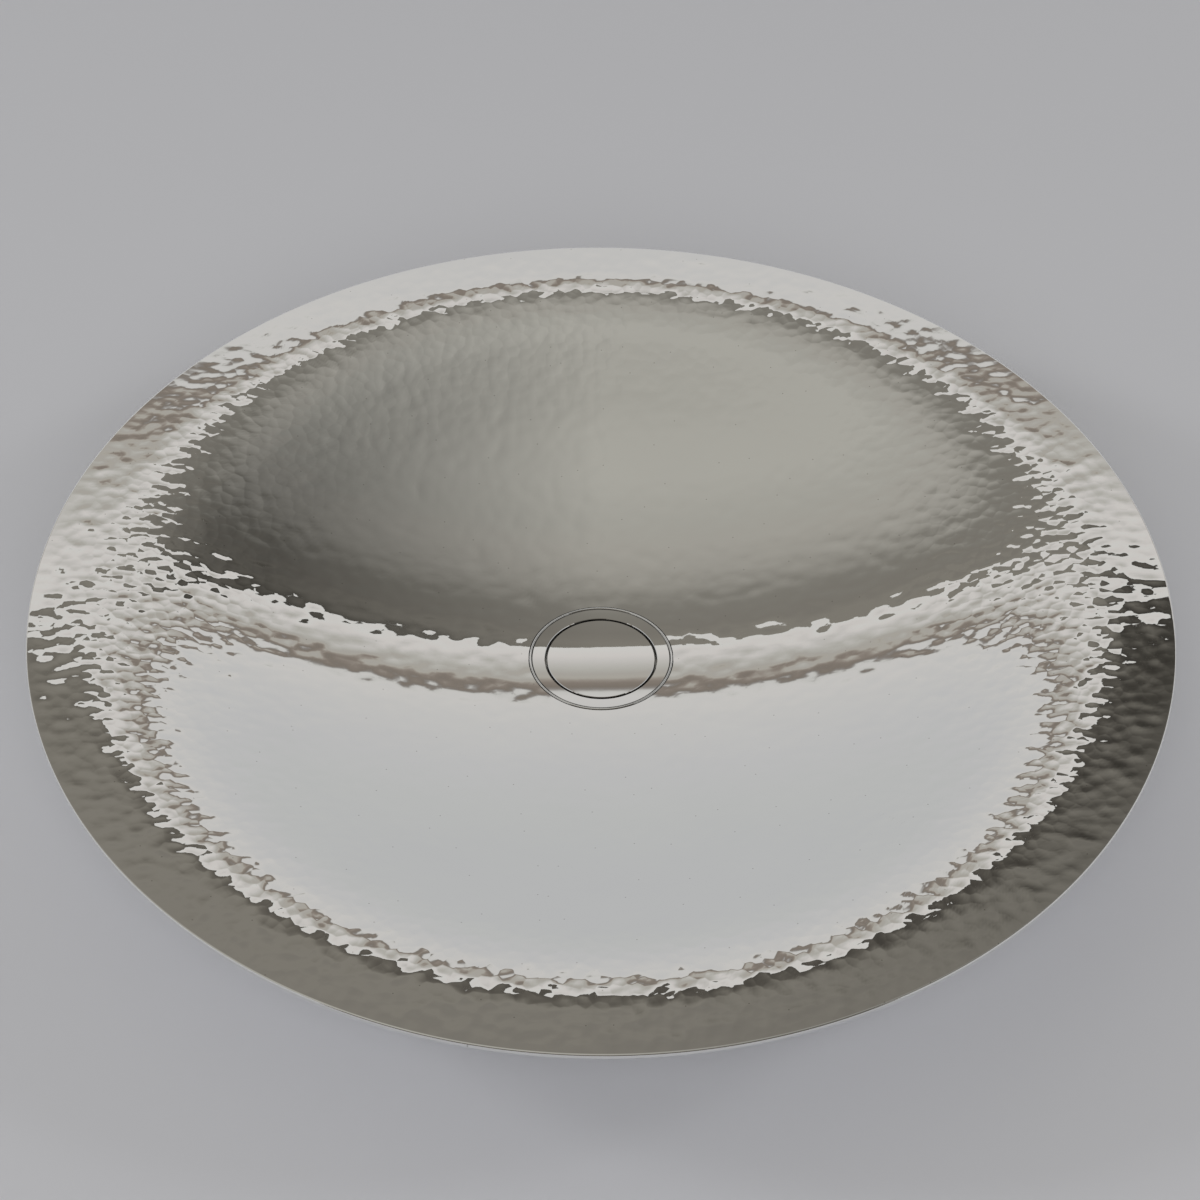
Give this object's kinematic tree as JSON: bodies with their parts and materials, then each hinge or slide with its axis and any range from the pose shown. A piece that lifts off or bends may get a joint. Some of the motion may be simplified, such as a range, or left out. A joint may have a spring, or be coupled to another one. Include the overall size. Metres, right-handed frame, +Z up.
{
  "type": "footed paten plate",
  "caption": "Round hammered silver paten plate with a shallow well, broad rim, polished centre boss and low spun foot held on by a stud and nut.",
  "frame": {"origin": "centre of the foot's flat underside, on the dish's axis", "axes": "+Z up along the dish's axis of symmetry; X and Y lie in the surface it stands on"},
  "size_m": [0.25, 0.25, 0.038],
  "materials": {
    "planished_silver": "polished, hammered all over with shallow overlapping facets",
    "polished_silver": "mirror polish",
    "spun_silver": "polished over fine spinning lines",
    "brass": "turned, slightly dulled"
  },
  "bodies": {
    "root": {"dish": "planished_silver", "boss_seat": "polished_silver", "boss_cap": "polished_silver", "boss_stud": "brass", "foot_plate": "spun_silver", "fixing_washer": "brass", "fixing_nut": "brass", "foot": "spun_silver", "foot_wire": "polished_silver"}
  },
  "joints": []
}
